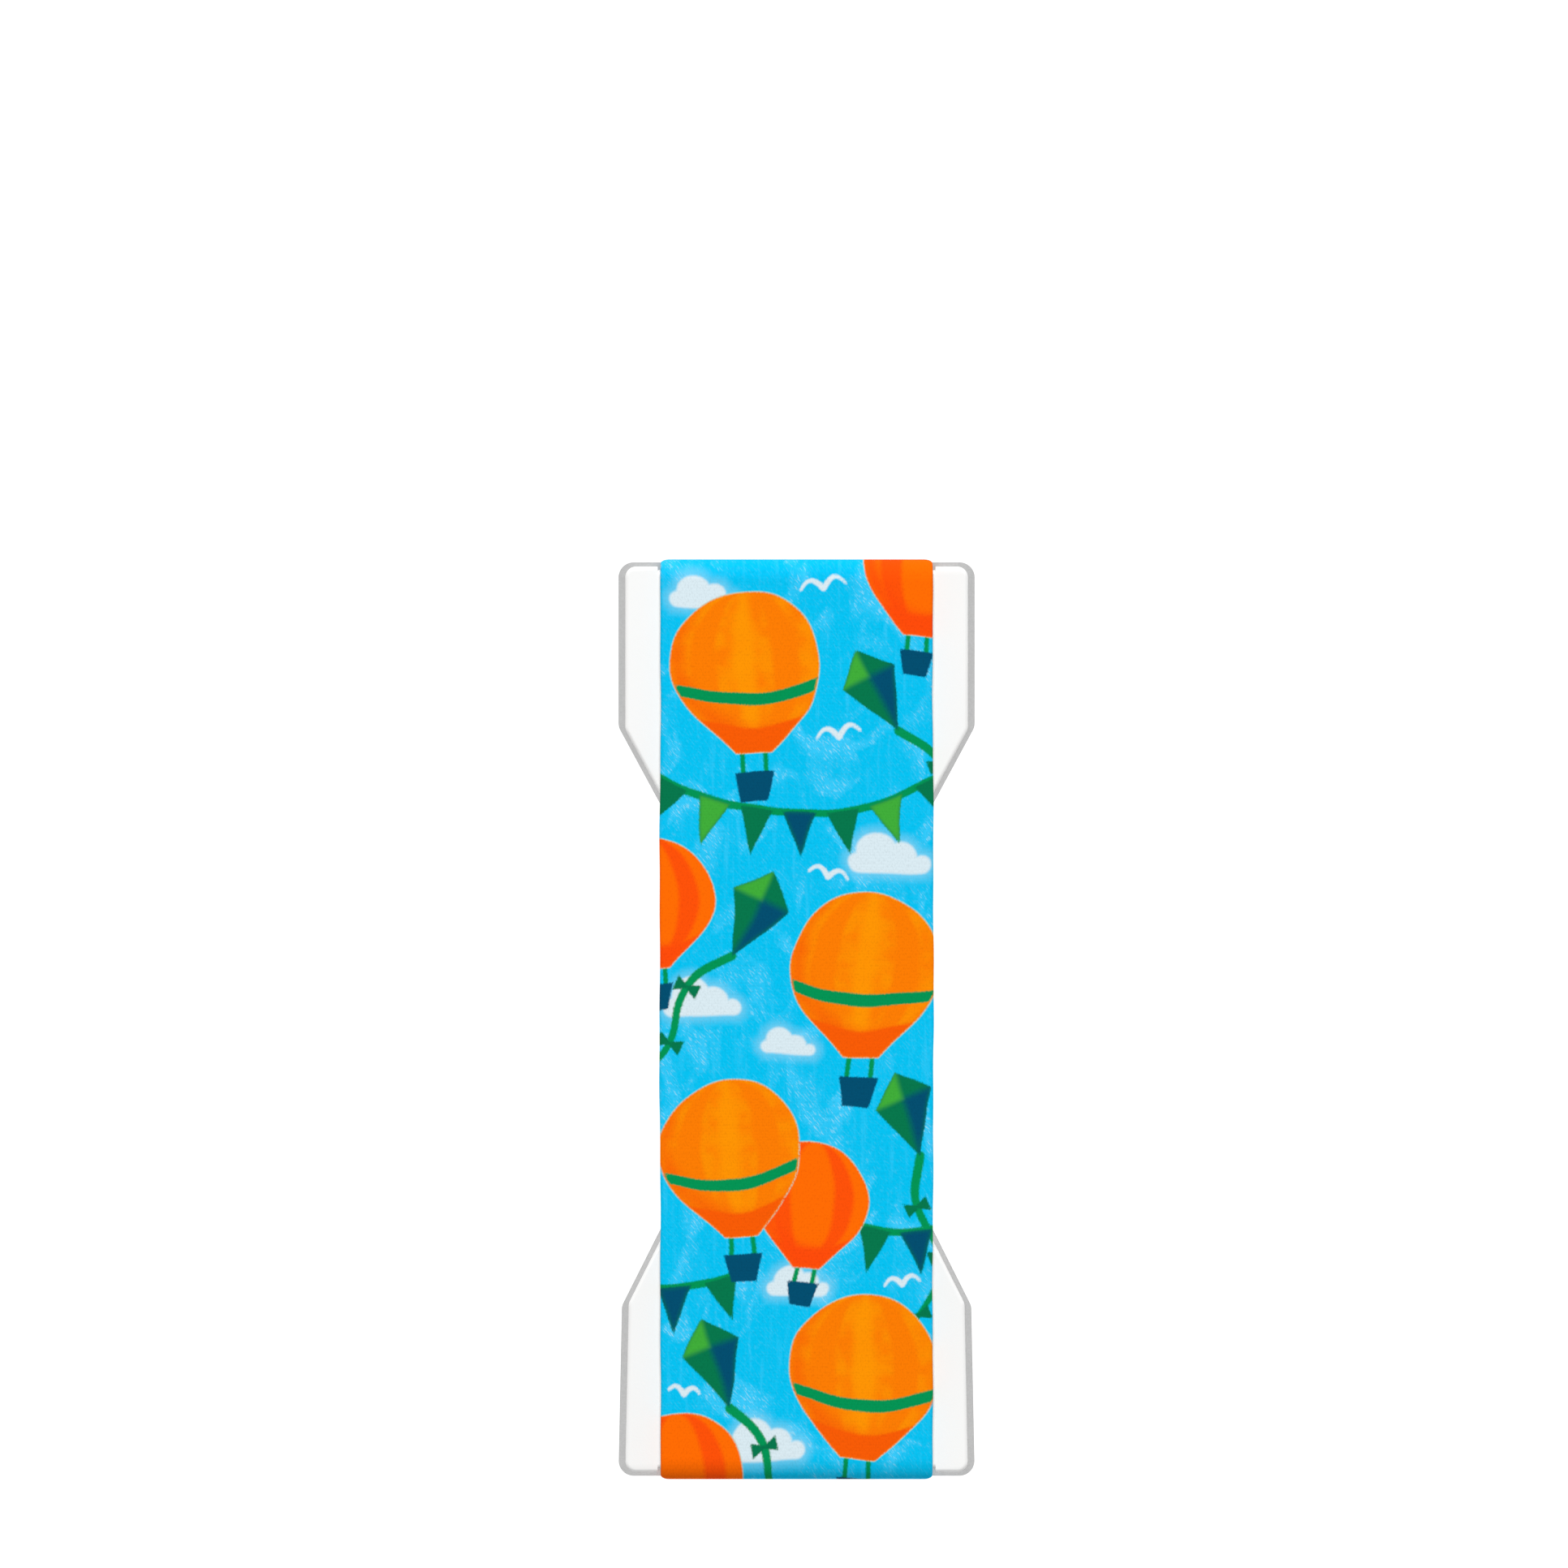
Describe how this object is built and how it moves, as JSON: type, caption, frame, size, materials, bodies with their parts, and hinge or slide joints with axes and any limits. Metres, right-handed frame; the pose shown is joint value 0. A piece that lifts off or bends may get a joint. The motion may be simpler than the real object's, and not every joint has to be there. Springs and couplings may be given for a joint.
{
  "type": "phone finger strap",
  "caption": "Elastic finger strap: a printed elastic band over a waisted plastic base plate, folded round each end and clamped beneath, with a foam adhesive pad under the plate.",
  "frame": {"origin": "centre of the bounding box's bottom face, on the adhesive underside of the pad", "axes": "+Y along the band towards its upper end, +X across the band, +Z out of the surface that the strap is stuck to"},
  "size_m": [0.0368, 0.095, 0.0047],
  "materials": {
    "foam_pad": "closed-cell foam, matt light grey",
    "white_plastic": "moulded satin white",
    "printed_elastic": "matt woven elastic, printed in blue, orange, green and white",
    "clamp_steel": "stamped and tumbled"
  },
  "bodies": {
    "root": {"adhesive_pad": "foam_pad", "base_plate": "white_plastic", "elastic_band": "printed_elastic", "upper_clamp_bar": "clamp_steel", "lower_clamp_bar": "clamp_steel"}
  },
  "joints": []
}
